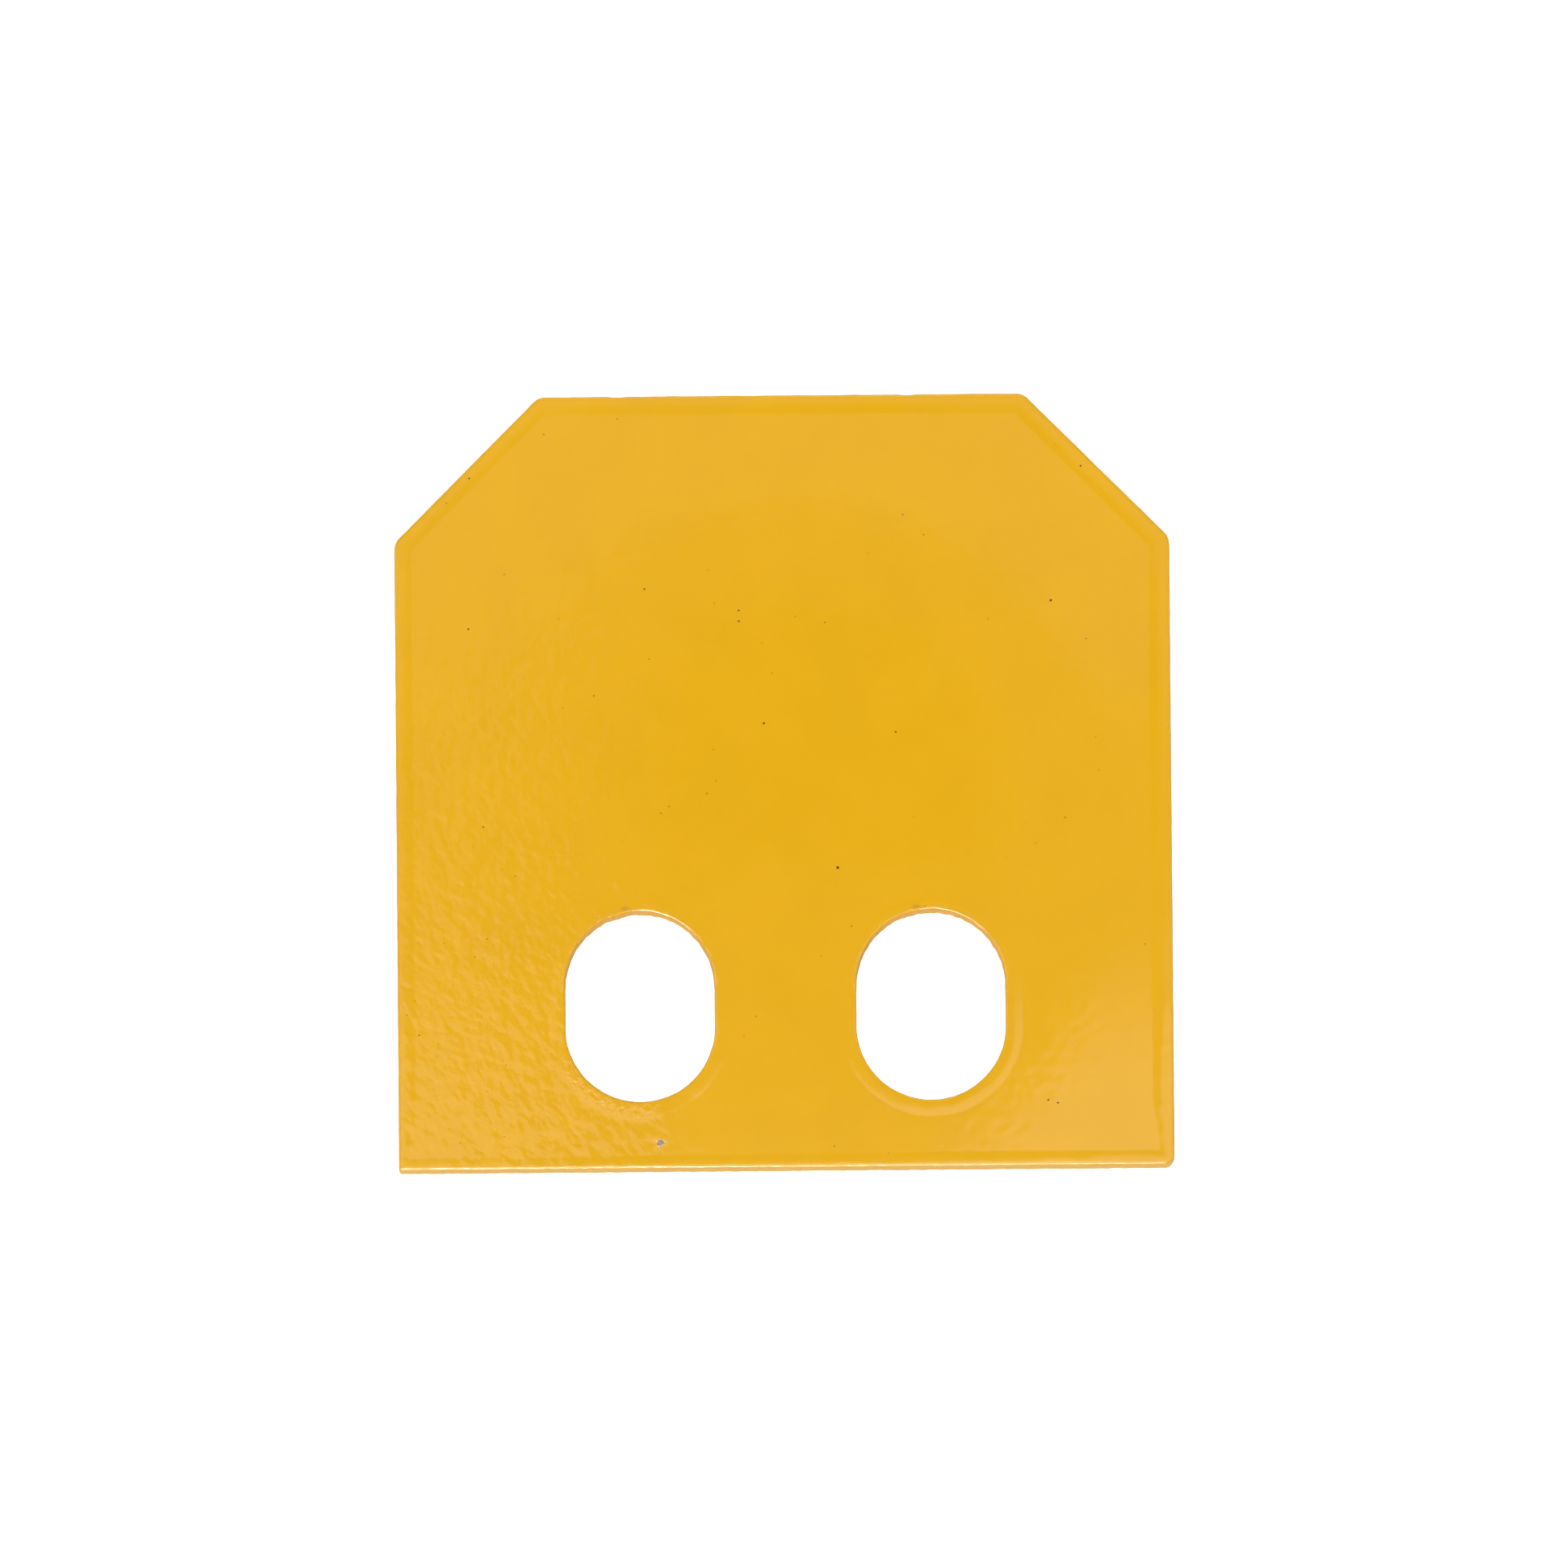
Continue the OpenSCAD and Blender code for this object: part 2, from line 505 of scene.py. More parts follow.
def bead(skin, coat, travel):
    """The thick bead along every edge, which is narrower at the lower edge and flatter at the slots' tops."""
    low = soften(-skin.points[:, 1], 33 * MM, 38 * MM)
    across = skin.points[:, 0] / HALF_WIDTH
    sway = 0.12 + 0.22 * np.maximum(across, 0) ** 4 + 0.05 * ripple(skin.points, 9 * MM, 4)
    crest = coat.bead_crest + sway * MM
    slot_end = coat.bead_end - 0.25 * MM - 0.45 * MM * skin.high
    end = np.where(skin.slot_side, slot_end, coat.bead_end + (0.2 * across - 0.6 * low) * MM)
    crest = np.where(skin.slot_side, crest + 0.2 * MM, crest - 0.15 * MM * low)
    way = np.clip((skin.inside - crest) / (end - crest), 0, 1)
    width = (end - crest) / (coat.bead_end - coat.bead_crest)
    height = coat.bead_height * width * np.where(skin.slot_side, 0.8 - 0.4 * skin.high, 1.0)
    height *= 1 - 0.8 * around_slot(skin, travel, 2.4 * MM, (0, 3 * MM), (-6 * MM, -3 * MM))
    wander = 0.93 + 0.07 * np.clip(ripple(skin.points, 6 * MM, 3), -1, 1)
    return height * wander * (1 - way**1.8) * skin.facing


def orange_peel(skin, coat, sagged):
    """Light orange peel all over, coarser where the coat has sagged."""
    peel = coat.peel_height * ripple(skin.points, coat.peel_spacing, 5)
    peel += 1.8 * coat.peel_height * sagged * ripple(skin.points, 1.6 * MM, 6, stretch=1.1)
    return peel * skin.facing


def cut_waves(skin, shape):
    """The wander of the cut edges, roughest at the slots' tops and along the lower edge."""
    near_edge = np.clip(1 - skin.inside / (0.9 * MM), 0, 1)
    at_foot = soften(-skin.points[:, 1], 38 * MM, 39.5 * MM)
    rough_rim = 1 + 9 * np.where(skin.slot_side, skin.high, 0) + 2 * at_foot
    wave = 0.75 * ripple(skin.points, 3.2 * MM, 11) + 0.5 * rough_rim * ripple(skin.points, 1.0 * MM, 12)
    return shape.edge_wave * np.clip(wave, -4, 4) * np.maximum(skin.side, 0.35 * near_edge)


def droop(skin):
    """How far the face falls off just before each arris, most at the lower right."""
    lower_right = soften(skin.points[:, 0], -35 * MM, 38 * MM) * soften(-skin.points[:, 1], 30 * MM, 38 * MM)
    depth = (0.012 + 0.05 * lower_right) * (1 + 0.5 * np.clip(ripple(skin.points, 2.4 * MM, 14), -1, 1)) * MM
    return depth * np.clip(1 - skin.inside / (0.6 * MM), 0, 1) ** 2 * np.clip(skin.up, 0, 1)


def flaked_rim(skin, coat):
    """How strongly each point belongs to the flaked, lifted rim of the chip."""
    offset = np.linalg.norm(skin.points[:, :2] - np.array(CHIP_PLACE), axis=1)
    bearing = np.arctan2(skin.points[:, 1] - CHIP_PLACE.y, skin.points[:, 0] - CHIP_PLACE.x)
    flaked = 0.55 + 0.45 * np.cos(3 * (bearing - math.radians(135)))
    return flaked * np.exp(-np.clip(offset - coat.chip_radius, 0, None) / (0.22 * MM))


def slot_nibs(skin, shape, travel):
    """Pulls the lead-in nib into the top of each slot. Returns the scorch mark over each nib."""
    outer = skin.points
    scorch = np.zeros(len(outer))
    for centre in SLOT_CENTRES:
        above = outer[:, 1] > centre.y + travel / 2
        near = np.abs(outer[:, 0] - centre.x) < SLOT_RADIUS
        shift = shape.nib_height * hump(outer[:, 0] - centre.x - NIB_OFFSET, NIB_WIDTH)
        reach = np.clip(1 - skin.inside / (0.5 * MM), 0, 1)
        outer[:, 1] -= np.where(above & near, shift * reach, 0)
        rim_height = centre.y + travel / 2 + SLOT_RADIUS
        mark = hump(outer[:, 0] - centre.x - SCORCH_OFFSET, 0.35 * MM)
        mark *= hump(outer[:, 1] - rim_height - SCORCH_RISE, 0.2 * MM)
        scorch = np.maximum(scorch, mark * (skin.up > 0))
    return scorch


def relieve(shell, outer_count, corners, travel, shape, coat):
    """Moves the outer skin's points along their normals, and keeps masks of its marks for the material."""
    points = np.concatenate(shell.points)
    normals = np.concatenate(shell.normals)
    outer = points[:outer_count]
    skin = Skin(outer, normals[:outer_count], corners, travel)
    patch = around_slot(skin, travel, 2.2 * MM, (2 * MM, 5 * MM), (-3 * MM, 0))
    sagged = soften(-outer[:, 0], 4 * MM, 24 * MM) * soften(-outer[:, 1], -34 * MM, -4 * MM)
    rim = flaked_rim(skin, coat)
    cracks = crack_depth(outer)

    move = bead(skin, coat, travel)
    move += orange_peel(skin, coat, sagged)
    move += cut_waves(skin, shape)
    move -= droop(skin)
    move = np.where(skin.front, move + RIM_LIFT * rim - CRACK_DEPTH * cracks, move)
    move = np.where(skin.front, np.minimum(move, THICKNESS - outer[:, 2] - FACE_CLEARANCE), move)
    move = np.where(skin.up < -0.9, np.minimum(move, outer[:, 2] - FACE_CLEARANCE), move)
    outer += skin.normals * move[:, None]
    limit = np.array([HALF_WIDTH, HALF_HEIGHT]) - SIDE_CLEARANCE
    outer[:, :2] = np.clip(outer[:, :2], -limit, limit)

    slot_tops = skin.slot_side * skin.high * soften(-skin.inside, -0.5 * MM, -0.3 * MM) * (skin.up > 0.05)
    marks = {
        "scorch": slot_nibs(skin, shape, travel),
        # Pale ring round the chip: partly whitened lifted coat, partly a painted highlight.
        "chip_rim_whitening_and_highlight": rim * skin.front,
        "crack": cracks * skin.front,
        # Marks the cut sides: their gloss is duller, and the material darkens their colour as painted shade.
        "side": soften(skin.side, 0.9, 0.999),
        "patch": np.maximum(patch * skin.front, 0.7 * slot_tops),
        "sag": (0.1 + 0.9 * sagged) * skin.front,
    }
    inner_part = np.zeros(shell.count - outer_count)
    shell.marks = {name: np.concatenate([mark, inner_part]) for name, mark in marks.items()}
    shell.points = [points]


# ---------------- materials


def add_node(tree, kind, place=(0, 0), inputs=None, **values):
    """Adds a node. Each input, by its name or number, is given a value or the socket that feeds it."""
    node = tree.nodes.new(kind)
    node.location = place
    for key, value in values.items():
        setattr(node, key, value)
    for key, value in (inputs or {}).items():
        if isinstance(value, bpy.types.NodeSocket):
            tree.links.new(value, node.inputs[key])
        else:
            node.inputs[key].default_value = value
    return node


def grain_group():
    """Shared grain: noise at a real spacing, as a height and as a soft mask."""
    found = bpy.data.node_groups.get("surface_grain")
    if found:
        return found
    group = bpy.data.node_groups.new("surface_grain", "ShaderNodeTree")
    new = group.interface.new_socket
    enters = (("Spacing", "Float", MM), ("Detail", "Float", 2.0), ("Squeeze", "Vector", (1, 1, 1)))
    for name, kind, value in enters:
        new(name, in_out="INPUT", socket_type="NodeSocket" + kind).default_value = value
    for name in ("Height", "Mask"):
        new(name, in_out="OUTPUT", socket_type="NodeSocketFloat")
    enter = add_node(group, "NodeGroupInput", (-1000, 0)).outputs
    place = add_node(group, "ShaderNodeTexCoord", (-1000, 200)).outputs["Object"]
    turn = {"Vector": place, "Angle": math.radians(-28)}
    turned = add_node(group, "ShaderNodeVectorRotate", (-800, 250), turn, rotation_type="Z_AXIS").outputs[0]
    sizes = {0: turned, 1: enter["Squeeze"]}
    squeezed = add_node(group, "ShaderNodeVectorMath", (-600, 150), sizes, operation="MULTIPLY").outputs[0]
    waves = {0: 1.0, 1: enter["Spacing"]}
    scale = add_node(group, "ShaderNodeMath", (-600, -50), waves, operation="DIVIDE").outputs[0]
    field = {"Vector": squeezed, "Scale": scale, "Detail": enter["Detail"], "Roughness": 0.5}
    noise = add_node(group, "ShaderNodeTexNoise", (-300, 100), field).outputs["Fac"]
    steps = {"Value": noise, "From Min": 0.3, "From Max": 0.7}
    spread = add_node(group, "ShaderNodeMapRange", (-100, -100), steps, interpolation_type="SMOOTHSTEP")
    add_node(group, "NodeGroupOutput", (300, 0), {"Height": noise, "Mask": spread.outputs["Result"]})
    return group


def grain(tree, spacing, detail, place, squeeze=1.0):
    inputs = {"Spacing": spacing, "Detail": detail, "Squeeze": (1, squeeze, 1)}
    return add_node(tree, "ShaderNodeGroup", place, inputs, node_tree=grain_group())


def new_material(name, kind="ShaderNodeBsdfPrincipled"):
    """A material that holds one shader, joined to its output."""
    material = bpy.data.materials.new(name)
    material.use_nodes = True
    tree = material.node_tree
    tree.nodes.clear()
    shader = add_node(tree, kind, (400, 0))
    output = add_node(tree, "ShaderNodeOutputMaterial", (700, 0))
    tree.links.new(shader.outputs[0], output.inputs["Surface"])
    return material, tree, shader


def add_bump(tree, shader, height, distance, place):
    inputs = {"Strength": 1.0, "Distance": distance, "Height": height}
    bump = add_node(tree, "ShaderNodeBump", place, inputs)
    tree.links.new(bump.outputs["Normal"], shader.inputs["Normal"])


def mix_colour(tree, place, mask, first, second):
    """Mixes two colours, each a socket or a value, by a mask socket."""
    node = add_node(tree, "ShaderNodeMix", place, data_type="RGBA")
    tree.links.new(mask, node.inputs["Factor"])
    for name, value in (("A", first), ("B", second)):
        socket = next(s for s in node.inputs if s.name == name and s.type == "RGBA")
        if isinstance(value, bpy.types.NodeSocket):
            tree.links.new(value, socket)
        else:
            socket.default_value = value
    return next(s for s in node.outputs if s.type == "RGBA")


def mapped(tree, socket, start, end, place):
    """Turns a mask from 0 to 1 into a value from start to end."""
    inputs = {"Value": socket, "To Min": start, "To Max": end}
    return add_node(tree, "ShaderNodeMapRange", place, inputs).outputs["Result"]


def scaled(tree, socket, factor, place):
    return add_node(tree, "ShaderNodeMath", place, {0: socket, 1: factor}, operation="MULTIPLY").outputs[0]


def shade(colour, factor):
    """A colour made lighter or darker."""
    return [channel * factor for channel in colour[:3]] + [1.0]


def coat_material(coat):
    """Glossy golden-yellow powder coat, with mottled pigment, fine peel, scorch marks and chip wear, a pale
    ring round the chip that is partly whitened lifted coat and partly painted highlight, and cut sides
    darkened as painted shade.
    """
    material, tree, shader = new_material("golden_powder_coat")
    link = tree.links.new
    base = tuple(coat.coat_colour)
    mottle = grain(tree, 7 * MM, 3.0, (-900, 300))
    pigment = mix_colour(tree, (-600, 300), mottle.outputs["Mask"], shade(base, 0.985), shade(base, 1.015))

    def mark(name, place):
        return add_node(tree, "ShaderNodeAttribute", place, attribute_name=name).outputs["Fac"]

    # Each mark, how strongly it tints the coat, and with which colour
    tints = {
        "scorch": (0.45, (0.25, 0.14, 0.03, 1.0)),
        # Lightens the chip's rim: partly whitened lifted coat, partly a painted highlight.
        "chip_rim_whitening_and_highlight": (0.9, (0.95, 0.66, 0.25, 1.0)),
        "crack": (0.8, (0.12, 0.07, 0.02, 1.0)),
        # The cut sides' colour is darkened a little here as painted shade.
        "side": (0.8, shade(base, 0.95)),
    }
    tinted = pigment
    for k, (name, (strength, tint)) in enumerate(tints.items()):
        mask = scaled(tree, mark(name, (-900, -130 * k)), strength, (-600, -130 * k))
        tinted = mix_colour(tree, (200 * k - 380, 300), mask, tinted, tint)
    link(tinted, shader.inputs["Base Color"])

    gloss = grain(tree, 4 * MM, 2.0, (-900, -500))
    side = mark("side", (-900, -620))
    face_rough = mapped(tree, gloss.outputs["Mask"], 0.04, 0.06, (-600, -450))
    side_rough = mapped(tree, side, 0.0, 0.3, (-600, -620))
    rough = add_node(tree, "ShaderNodeMath", (-380, -500), {0: face_rough, 1: side_rough}, operation="ADD")
    link(rough.outputs[0], shader.inputs["Roughness"])
    link(mapped(tree, side, 0.5, 0.2, (-380, -650)), shader.inputs["Specular IOR Level"])
    shader.inputs["IOR"].default_value = 1.5

    def heaped(height, mask, factor, below, place):
        """Adds a height, where its mask lets it through, to the height below it."""
        inputs = {0: height, 1: scaled(tree, mask, factor, (place[0] - 220, place[1] - 100)), 2: below}
        return add_node(tree, "ShaderNodeMath", place, inputs, operation="MULTIPLY_ADD").outputs[0]

    peel = grain(tree, 0.7 * MM, 1.0, (-900, -800))
    sag = grain(tree, 1.15 * MM, 1.6, (-900, -950), squeeze=0.8)
    sparkle = grain(tree, 0.62 * MM, 1.0, (-900, -1250))
    sagged, broken = mark("sag", (-900, -1100)), mark("patch", (-900, -1400))
    rise = heaped(sag.outputs["Height"], sagged, 34.0, peel.outputs["Height"], (-380, -950))
    rise = heaped(sparkle.outputs["Height"], broken, 60.0, rise, (-150, -1250))
    add_bump(tree, shader, rise, 0.0016 * MM, (100, -700))
    return material


def steel_material(coat):
    """Bare, slightly oxidised steel under the coat."""
    material, tree, shader = new_material("bare_steel")
    link = tree.links.new
    base = tuple(coat.steel_colour)
    scale = grain(tree, 0.35 * MM, 4.0, (-700, 200))
    tone = mix_colour(tree, (-300, 200), scale.outputs["Mask"], shade(base, 0.7), shade(base, 1.2))
    link(tone, shader.inputs["Base Color"])
    shader.inputs["Metallic"].default_value = 1.0
    link(mapped(tree, scale.outputs["Mask"], 0.45, 0.7, (-300, -100)), shader.inputs["Roughness"])
    pits = grain(tree, 0.12 * MM, 3.0, (-700, -400))
    add_bump(tree, shader, pits.outputs["Height"], 0.004 * MM, (-100, -400))
    return material


def speck_material(coat):
    """Dark grit caught in the coat."""
    material, tree, shader = new_material("coat_grit")
    base = tuple(coat.speck_colour)
    tone = grain(tree, 3 * MM, 2.0, (-600, 100))
    mixed = mix_colour(tree, (-200, 100), tone.outputs["Mask"], shade(base, 0.5), shade(base, 1.8))
    tree.links.new(mixed, shader.inputs["Base Color"])
    shader.inputs["Roughness"].default_value = 0.5
    shader.inputs["Specular IOR Level"].default_value = 0.2
    return material


def floor_material(stage):
    """Pale floor, lit like a light table where it is seen directly, and dull in the light it throws back."""
    material, tree, shader = new_material("pale_floor")
    path = add_node(tree, "ShaderNodeLightPath", (-600, 0))
    seen = path.outputs["Is Camera Ray"]
    dull = (0.55, 0.55, 0.55, 1.0)
    base = mix_colour(tree, (-200, 200), seen, dull, tuple(stage.floor_colour))
    tree.links.new(base, shader.inputs["Base Color"])
    tree.links.new(mapped(tree, seen, 0.25, 0.75, (-200, -200)), shader.inputs["Emission Strength"])
    shader.inputs["Emission Color"].default_value = (1, 1, 1, 1)
    shader.inputs["Roughness"].default_value = 0.7
    shader.inputs["Specular IOR Level"].default_value = 0.0
    return material


# ---------------- geometry nodes


def set_inputs(modifier, values):
    """Sets a modifier's inputs by their sockets' identifiers."""
    sockets = [item for item in modifier.node_group.interface.items_tree if item.item_type == "SOCKET"]
    identifiers = {item.name: item.identifier for item in sockets if item.in_out == "INPUT"}
    for name, value in values.items():
        modifier[identifiers[name]] = value


def speck_tree():
    """Scatters flat flecks over the front of a mesh, and puts larger ones at given points."""
    tree = bpy.data.node_groups.new("scatter_specks", "GeometryNodeTree")
    enters = {"Geometry": "Geometry", "Large Specks": "Object", "Density": "Float", "Size": "Float"}
    enters |= {"Seed": "Int", "Material": "Material"}
    for name, kind in enters.items():
        tree.interface.new_socket(name, in_out="INPUT", socket_type="NodeSocket" + kind)
    tree.interface.new_socket("Geometry", in_out="OUTPUT", socket_type="NodeSocketGeometry")
    enter = add_node(tree, "NodeGroupInput", (-1400, 0)).outputs

    facing = add_node(tree, "GeometryNodeInputNormal", (-1400, 300)).outputs["Normal"]
    split = add_node(tree, "ShaderNodeSeparateXYZ", (-1200, 300), {"Vector": facing}).outputs["Z"]
    level = {"A": split, "B": 0.995}
    upward = add_node(
        tree, "FunctionNodeCompare", (-1000, 300), level, data_type="FLOAT", operation="GREATER_THAN"
    )
    spread = {"Mesh": enter["Geometry"], "Selection": upward.outputs["Result"]}
    spread.update({name: enter[name] for name in ("Density", "Seed")})
    scatter = add_node(tree, "GeometryNodeDistributePointsOnFaces", (-800, 200), spread)

    chosen = add_node(tree, "GeometryNodeObjectInfo", (-1200, -300), {"Object": enter["Large Specks"]})
    dots = add_node(tree, "GeometryNodeMeshToPoints", (-1000, -300), {"Mesh": chosen.outputs["Geometry"]})
    fall = {"Target Geometry": enter["Geometry"], "Ray Direction": (0, 0, -1), "Ray Length": 0.05}
    landed = add_node(tree, "GeometryNodeRaycast", (-800, -500), fall).outputs["Hit Position"]
    put_down = {"Geometry": dots.outputs["Points"], "Position": landed}
    settle = add_node(tree, "GeometryNodeSetPosition", (-500, -300), put_down)
    fleck = add_node(tree, "GeometryNodeMeshIcoSphere", (-500, 500), {"Radius": 1.0, "Subdivisions": 1})

    def flecks(points, reach, low, high, seed, place):
        """Puts a thin fleck on each point, its radius reach times a random number from low to high."""
        column, row = place
        thin = {"Min": (low, low, 0.04), "Max": (high, high, 0.06), "Seed": seed}
        spin = {"Max": (0, 0, 2 * math.pi), "Seed": seed + 1}
        size, turn = [
            add_node(tree, "FunctionNodeRandomValue", (column - 300, y), inputs, data_type="FLOAT_VECTOR")
            for inputs, y in ((thin, row - 200), (spin, row - 400))
        ]
        grown = {0: size.outputs["Value"], "Scale": reach}
        grow = add_node(tree, "ShaderNodeVectorMath", (column - 100, row - 200), grown, operation="SCALE")
        inputs = {"Points": points, "Instance": fleck.outputs["Mesh"], "Scale": grow.outputs["Vector"]}
        inputs["Rotation"] = turn.outputs["Value"]
        return add_node(tree, "GeometryNodeInstanceOnPoints", place, inputs).outputs["Instances"]

    named = {"Name": "reach"}
    own = add_node(tree, "GeometryNodeInputNamedAttribute", (-500, -600), named, data_type="FLOAT")
    join = add_node(tree, "GeometryNodeJoinGeometry", (400, 0))
    small = flecks(scatter.outputs["Points"], enter["Size"], 0.5, 1.15, 21, (100, 200))
    large = flecks(settle.outputs["Geometry"], own.outputs["Attribute"], 0.85, 1.05, 31, (100, -300))
    for instances in (small, large):
        tree.links.new(instances, join.inputs["Geometry"])
    joined = {"Geometry": join.outputs["Geometry"]}
    real = add_node(tree, "GeometryNodeRealizeInstances", (600, 0), joined)
    painted = {"Geometry": real.outputs["Geometry"], "Material": enter["Material"]}
    paint = add_node(tree, "GeometryNodeSetMaterial", (800, 0), painted)
    add_node(tree, "NodeGroupOutput", (1200, 0), {"Geometry": paint.outputs["Geometry"]})
    return tree


# ---------------- operators


def link_object(name, data):
    item = bpy.data.objects.new(name, data)
    bpy.context.scene.collection.objects.link(item)
    return item


class PLATE_OT_build_coat(bpy.types.Operator):
    """Build the powder coat as a closed film with its bead, peel, nibs and chip"""

    bl_idname = "plate.build_coat"
    bl_label = "Build powder coat"

    def execute(self, context):
        shape, coat = context.scene.plate_shape, context.scene.plate_coat
        shell = build_coat(shape, coat)
        mesh = shell.mesh("coat_film")
        if len(mesh.vertices) != shell.count:
            raise RuntimeError("the coat's mesh lost points")
        for name, values in shell.marks.items():
            mask = mesh.attributes.new(name, "FLOAT", "POINT")
            mask.data.foreach_set("value", values.astype(np.float32))
        mesh.shade_smooth()
        mesh.materials.append(coat_material(coat))
        film = link_object("coat_film", mesh)
        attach(film, "root")
        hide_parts("powder_coat")
        return {"FINISHED"}


class PLATE_OT_scatter_specks(bpy.types.Operator):
    """Scatter dark grit over the front of the coat"""

    bl_idname = "plate.scatter_specks"
    bl_label = "Scatter specks"

    # The largest specks: place on the face from the plate's centre and radius, in millimetres
    LARGE = [(5.5, -9, 0.19), (-4.5, 17.7, 0.12), (-4.5, 16.6, 0.12), (-2, 6, 0.13), (30.9, 32.4, 0.11)]
    LARGE += [(27.7, 18.5, 0.15), (11.6, 5, 0.11), (-32.2, 31.6, 0.11), (-32.4, 16, 0.12)]
    LARGE += [(27, -33.2, 0.11), (28, -33.5, 0.11), (-37.8, -26, 0.1), (4.4, 16.4, 0.09)]
    LARGE += [(-14.2, 20, 0.11), (-31, -4.5, 0.1), (12.5, 27.5, 0.08), (29, -4, 0.08), (-19.5, 9, 0.08)]
    SEED = 7

    def execute(self, context):
        coat = context.scene.plate_coat
        carrier = bpy.data.objects["coat_film"]
        dots = bpy.data.meshes.new("large_specks")
        dots.from_pydata([(x * MM, y * MM, 2 * THICKNESS) for x, y, _ in self.LARGE], [], [])
        reach = dots.attributes.new("reach", "FLOAT", "POINT")
        reach.data.foreach_set("value", [radius * MM for _, _, radius in self.LARGE])
        dots_object = link_object("large_specks", dots)
        specks = link_object("coat_specks", carrier.data.copy())
        modifier = specks.modifiers.new("scatter", "NODES")
        modifier.node_group = speck_tree()
        inputs = {
            "Large Specks": dots_object,
            "Density": coat.speck_density,
            "Size": coat.speck_size,
            "Seed": self.SEED,
            "Material": speck_material(coat),
        }
        set_inputs(modifier, inputs)
        graph = context.evaluated_depsgraph_get()
        made = bpy.data.meshes.new_from_object(specks.evaluated_get(graph), depsgraph=graph)
        specks.modifiers.remove(modifier)
        specks.data = made
        bpy.data.objects.remove(dots_object)
        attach(specks, "root")
        return {"FINISHED"}


class PLATE_OT_finish_blank(bpy.types.Operator):
    """Give the steel blank its bare metal finish"""

    bl_idname = "plate.finish_blank"
    bl_label = "Finish steel blank"

    def execute(self, context):
        blank = frame["nodes"]["steel_plate"]
        material = steel_material(context.scene.plate_coat)
        if not blank.material_slots:
            blank.data.materials.append(material)
        for slot in blank.material_slots:
            slot.material = material
        return {"FINISHED"}


# ---------------- stage


# Each area light: place, size, power and the kind of ray that doesn't see it. All point at the plate
LIGHTS = {
    "front_key": ((-0.27, -1.45, 0.67), (0.55, 0.55), 13, None),
    "front_strip": ((-0.5, -1.45, 0.67), (1.6, 0.8), 50, "visible_diffuse"),
    "left_fill": ((-1.2, 0.1, 0.9), (1.0, 1.0), 3.6, None),
    "right_fill": ((1.2, 0.1, 0.9), (1.0, 1.0), 3.6, None),
    "back_fill": ((0.0, 1.2, 0.9), (1.0, 0.8), 8, None),
    "top_fill": ((0.0, 0.0, 1.6), (1.0, 1.0), 5.2, "visible_glossy"),
}
FLOOR_HALF = 3.0
CARD_HALF = 0.35
# Where the camera looks, from the middle of the plate
AIM_OFFSET = Vector((0.03 * MM, -0.085 * MM))


def area_light(name, place, size, power, unseen_by):
    data = bpy.data.lights.new(name, "AREA")
    data.shape = "RECTANGLE"
    data.size, data.size_y = size
    data.energy = power
    lamp = link_object(name, data)
    lamp.location = place
    lamp.rotation_euler = (Vector() - Vector(place)).to_track_quat("-Z", "Y").to_euler()
    lamp.visible_camera = False
    if unseen_by:
        setattr(lamp, unseen_by, False)


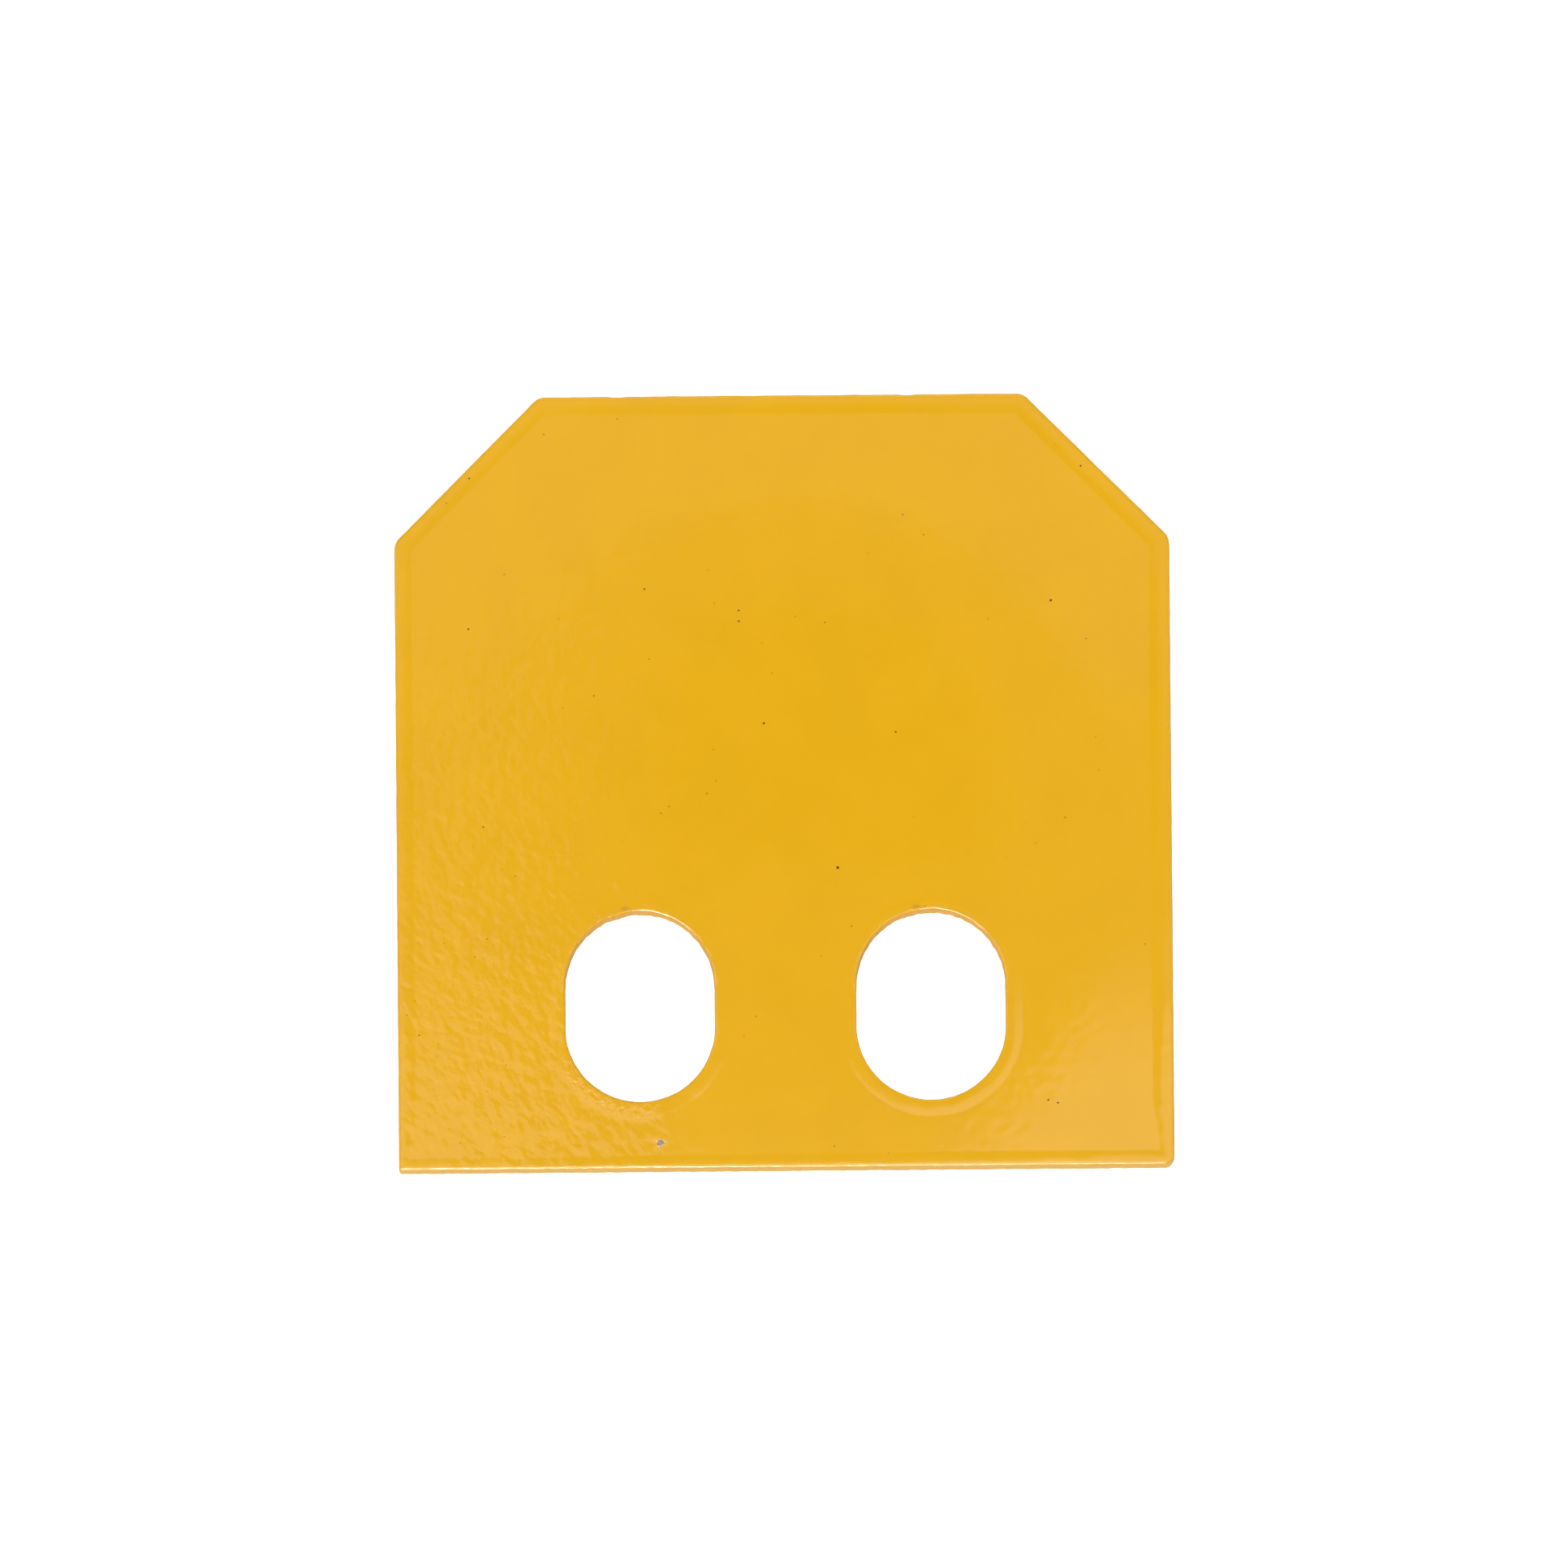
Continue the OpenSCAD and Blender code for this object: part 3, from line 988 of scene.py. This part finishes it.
def card_material(reach):
    """Overhead light card: two dark rings round the camera's opening, brighter towards its near corners.

    Places and sizes are in millimetres where the card's mirror image lies on the plate."""
    material, tree, emission = new_material("light_card", "ShaderNodeEmission")
    place = add_node(tree, "ShaderNodeTexCoord", (-1200, 0)).outputs["Object"]
    split = add_node(tree, "ShaderNodeSeparateXYZ", (-1000, 0), {"Vector": place})
    x, y = split.outputs["X"], split.outputs["Y"]

    def calc(operation, *values):
        inputs = dict(enumerate(values))
        return add_node(tree, "ShaderNodeMath", inputs=inputs, operation=operation).outputs[0]

    def ramp(value, low, high, start=0.0, end=1.0):
        """Smooth step from start at low to end at high."""
        ends = (start, end) if low < high else (end, start)
        inputs = {"Value": value, "To Min": ends[0], "To Max": ends[1]}
        inputs |= {"From Min": min(low, high) * MM * reach, "From Max": max(low, high) * MM * reach}
        return add_node(tree, "ShaderNodeMapRange", inputs=inputs, interpolation_type="SMOOTHSTEP").outputs[0]

    def mix(mask, first, second):
        inputs = {"Factor": mask, 2: first, 3: second}
        return add_node(tree, "ShaderNodeMix", inputs=inputs, data_type="FLOAT").outputs[0]

    def outside_circle(centre_x, centre_y, radius, soft):
        """0 inside a soft-edged circle and 1 outside it. The circle is drawn out a little downwards."""
        dx = calc("SUBTRACT", x, centre_x * MM * reach)
        dy = calc("SUBTRACT", y, centre_y * MM * reach)
        dy = calc("MAXIMUM", dy, calc("MULTIPLY", dy, -0.86))
        away = calc("SQRT", calc("ADD", calc("MULTIPLY", dx, dx), calc("MULTIPLY", dy, dy)))
        return ramp(away, radius - soft, radius + soft)

    # Inside the outer ring
    inner = calc("MAXIMUM", outside_circle(3, 0, 20, 2.5), ramp(y, -7, -12, 0.0, 0.6))
    rings = calc("ADD", mix(inner, 0.05, 0.2), ramp(y, -27, -39, 0.0, 0.15))
    # Outside it, on the left and on the right
    left = calc("ADD", ramp(y, -6, -13, 0.47, 0.66), ramp(y, -18, -36, 0.0, 0.5))
    right = calc("ADD", ramp(y, 14, 3, 0.48, 0.27), ramp(y, -14, -34, 0.0, 1.1))
    veil = mix(ramp(x, -8, 14), left, right)
    veil = calc("ADD", veil, calc("MULTIPLY", outside_circle(1, -5, 46, 6), 0.09))
    # Below the plate, where only the edges mirror it
    window = calc("MULTIPLY", ramp(x, 45, 60, 1.0, 0.0), ramp(x, -190, -130))
    beyond = calc("ADD", ramp(y, -46, -60, 0.0, 0.3), calc("MULTIPLY", window, ramp(y, -75, -115, 0.0, 2.4)))
    strength = calc("ADD", mix(outside_circle(1, -5, 34, 2.5), rings, veil), beyond)
    tree.links.new(strength, emission.inputs["Strength"])
    return material


def flat_sheet(name, half, place, material):
    mesh = bpy.data.meshes.new(name)
    corners = [(-half, -half, 0), (half, -half, 0), (half, half, 0), (-half, half, 0)]
    mesh.from_pydata(corners, [], [(0, 1, 2, 3)])
    mesh.materials.append(material)
    sheet = link_object(name, mesh)
    sheet.location = place
    return sheet


def studio_world():
    """White where it is seen directly, dull as light, and paler towards the horizon in the gloss."""
    world = bpy.data.worlds.new("studio")
    world.use_nodes = True
    tree = world.node_tree
    dim, pale, white = [(value, value, value, 1) for value in (0.32, 0.8, 1)]
    path = add_node(tree, "ShaderNodeLightPath", (-600, 0))
    place = add_node(tree, "ShaderNodeTexCoord", (-1000, 200)).outputs["Generated"]
    split = add_node(tree, "ShaderNodeSeparateXYZ", (-800, 200), {"Vector": place})
    rise = {"Value": split.outputs["Z"], "From Max": 0.45}
    horizon = add_node(tree, "ShaderNodeMapRange", (-600, 200), rise, interpolation_type="SMOOTHSTEP")
    mirrored = mix_colour(tree, (-400, 200), horizon.outputs["Result"], pale, dim)
    lit = mix_colour(tree, (-300, 0), path.outputs["Is Glossy Ray"], dim, mirrored)
    tint = mix_colour(tree, (-200, 0), path.outputs["Is Camera Ray"], lit, white)
    tree.links.new(tint, tree.nodes["Background"].inputs["Color"])
    return world


def set_camera(stage):
    data = bpy.data.cameras.new("camera")
    data.sensor_width = 36.0
    data.lens = data.sensor_width * stage.camera_distance / stage.frame_width
    data.clip_end = 20.0
    camera = link_object("camera", data)
    aim = AIM_OFFSET.to_3d() + Vector((0, 0, THICKNESS / 2))
    back = Vector((0, -math.sin(stage.camera_tilt), math.cos(stage.camera_tilt)))
    turn = back.to_track_quat("Z", "Y").to_matrix().to_4x4() @ Matrix.Rotation(-stage.camera_roll, 4, "Z")
    camera.matrix_world = Matrix.Translation(aim + back * stage.camera_distance) @ turn
    return camera


class PLATE_OT_set_stage(bpy.types.Operator):
    """Set the pale floor, the soft lights and the camera"""

    bl_idname = "plate.set_stage"
    bl_label = "Set stage"

    def execute(self, context):
        stage = context.scene.plate_stage
        flat_sheet("floor", FLOOR_HALF, (0, 0, 0), floor_material(stage))
        reach = 1 + stage.card_height / stage.camera_distance
        place = (0, stage.card_height * math.tan(stage.camera_tilt), stage.card_height + THICKNESS)
        card = flat_sheet("light_card", CARD_HALF, place, card_material(reach))
        card.visible_camera = False
        card.visible_shadow = False
        card.visible_diffuse = False
        for name, settings in LIGHTS.items():
            area_light(name, *settings)
        context.scene.world = studio_world()
        context.scene.view_settings.view_transform = "Standard"
        context.scene.camera = set_camera(stage)
        return {"FINISHED"}


class PLATE_PT_panel(bpy.types.Panel):
    """Lists the steps that build the plate"""

    bl_idname = "PLATE_PT_panel"
    bl_label = "Mounting Plate"
    bl_space_type = "VIEW_3D"
    bl_region_type = "UI"
    bl_category = "Plate"

    def draw(self, context):
        layout = self.layout
        for group in (context.scene.plate_shape, context.scene.plate_coat, context.scene.plate_stage):
            column = layout.column(align=True)
            for name in group.__annotations__:
                column.prop(group, name)
        for operator in OPERATORS:
            layout.operator(operator.bl_idname)


SETTINGS = {"plate_shape": PlateShape, "plate_coat": PlateCoat, "plate_stage": PlateStage}
OPERATORS = [PLATE_OT_build_coat, PLATE_OT_scatter_specks, PLATE_OT_finish_blank, PLATE_OT_set_stage]


def register():
    for cls in [*SETTINGS.values(), *OPERATORS, PLATE_PT_panel]:
        bpy.utils.register_class(cls)
    for name, cls in SETTINGS.items():
        setattr(bpy.types.Scene, name, bpy.props.PointerProperty(type=cls))


def unregister():
    for name in SETTINGS:
        delattr(bpy.types.Scene, name)
    for cls in reversed([*SETTINGS.values(), *OPERATORS, PLATE_PT_panel]):
        bpy.utils.unregister_class(cls)


def main():
    register()
    bpy.ops.plate.build_coat()
    bpy.ops.plate.scatter_specks()
    bpy.ops.plate.finish_blank()
    bpy.ops.plate.set_stage()


if __name__ == "__main__":
    main()
